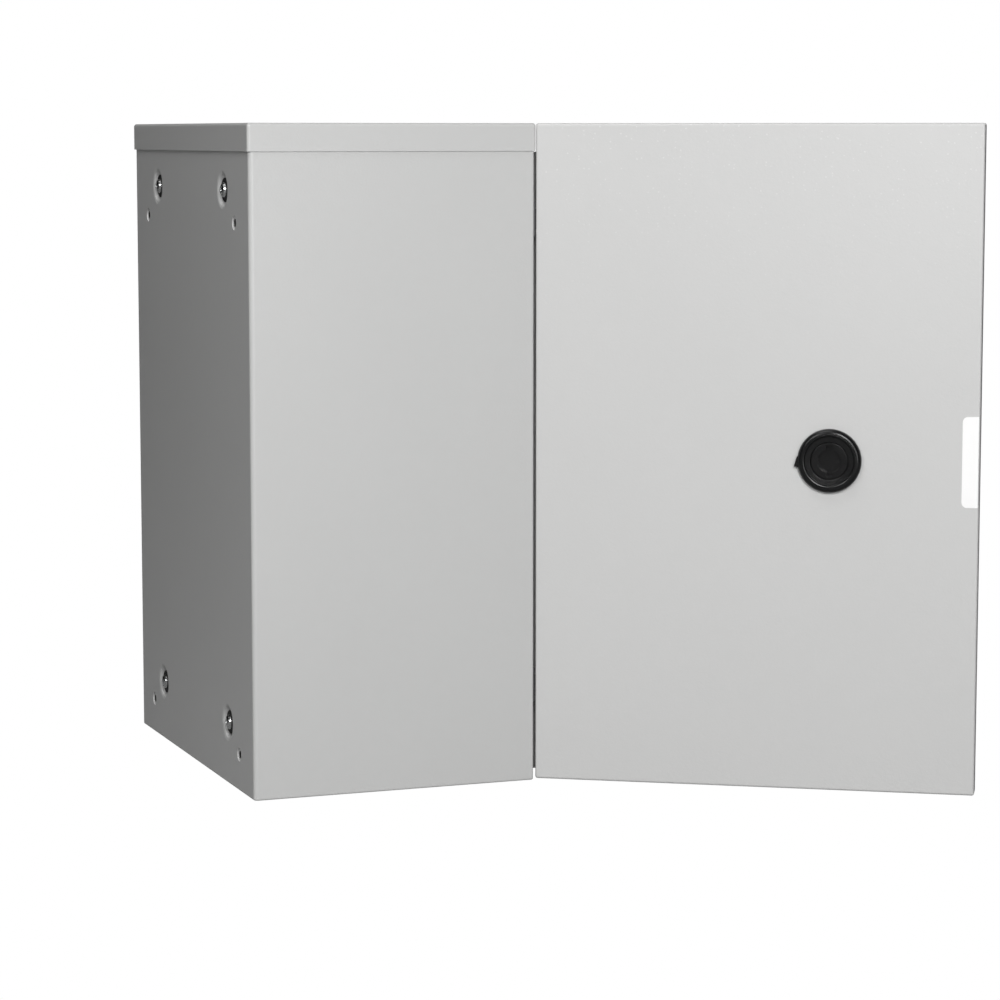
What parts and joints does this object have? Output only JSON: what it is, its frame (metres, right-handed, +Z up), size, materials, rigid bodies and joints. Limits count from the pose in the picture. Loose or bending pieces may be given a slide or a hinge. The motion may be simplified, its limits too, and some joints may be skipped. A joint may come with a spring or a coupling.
{
  "type": "battery box",
  "caption": "Wall-mounting sheet-steel battery box with a capped top, a side-hung door on concealed hinges and a quarter-turn cam lock.",
  "frame": {"origin": "centre of the base, on the plane that the box stands on", "axes": "+Z up; -Y is the door side (the shut door's outer face looks along -Y); +Y is the wall side; the door is hung on the -X side"},
  "size_m": [0.4598, 0.4641, 0.45],
  "materials": {
    "cabinet_powder_coat": "light grey fine orange-peel powder coat",
    "door_powder_coat": "light grey fine orange-peel powder coat",
    "galvanised_plate": "hot-dip galvanised sheet with a soft spangle",
    "zinc_fasteners": "bright zinc plating",
    "zinc_hinges": "zinc-plated pressed steel",
    "copper_flashed_studs": "copper-flashed weld stud",
    "painted_inserts": "steel insert under the same grey powder coat",
    "black_rubber": "matt black rubber",
    "grey_foam": "dark closed-skin foam",
    "black_lock_plastic": "black glass-filled nylon, satin",
    "white_label": "blank white film"
  },
  "bodies": {
    "cabinet": {"body_shell": "cabinet_powder_coat", "top_cover": "cabinet_powder_coat", "top_cover_gasket": "black_rubber", "top_cover_studs": "zinc_fasteners", "top_cover_washers": "zinc_fasteners", "top_cover_nuts": "zinc_fasteners", "gland_plate": "galvanised_plate", "gland_plate_gasket": "black_rubber", "gland_plate_studs": "zinc_fasteners", "gland_plate_washers": "zinc_fasteners", "gland_plate_nuts": "zinc_fasteners", "mounting_plate": "galvanised_plate", "mounting_bolts": "zinc_fasteners", "sealing_washers": "black_rubber", "plate_spacers": "zinc_fasteners", "plate_washers": "zinc_fasteners", "plate_nuts": "zinc_fasteners", "wall_bracket_inserts": "painted_inserts", "body_earth_stud": "copper_flashed_studs", "body_earth_washer": "zinc_fasteners", "body_earth_nut": "zinc_fasteners", "lower_hinge_arm": "zinc_hinges", "upper_hinge_arm": "zinc_hinges", "hinge_foot_screws": "zinc_fasteners", "hinge_foot_nuts": "zinc_fasteners"},
    "door": {"door_panel": "door_powder_coat", "door_gasket": "grey_foam", "edge_label": "white_label", "door_earth_stud": "copper_flashed_studs", "door_earth_washer": "zinc_fasteners", "door_earth_nut": "zinc_fasteners", "lower_hinge_bracket": "zinc_hinges", "upper_hinge_bracket": "zinc_hinges", "lower_hinge_pin": "zinc_fasteners", "upper_hinge_pin": "zinc_fasteners", "hinge_bracket_studs": "zinc_fasteners", "hinge_bracket_nuts": "zinc_fasteners", "lock_housing": "black_lock_plastic", "lock_seal": "black_rubber", "lock_nut": "black_lock_plastic"},
    "lock_cylinder": {"lock_core": "black_lock_plastic", "lock_cam": "zinc_hinges", "lock_cam_washer": "zinc_fasteners", "lock_cam_screw": "zinc_fasteners"}
  },
  "joints": [
    {"name": "door_hinge", "type": "hinge", "parent": "cabinet", "child": "door", "pos_m": [-0.1455, -0.1092, 0.2255], "axis": [0, 0, 1], "range_deg": [0, 122]},
    {"name": "lock_turn", "type": "hinge", "parent": "door", "child": "lock_cylinder", "pos_m": [-0.25623, -0.27113, 0.2255], "axis": [-0.848, 0.5299, 0], "range_deg": [0, 90]}
  ]
}
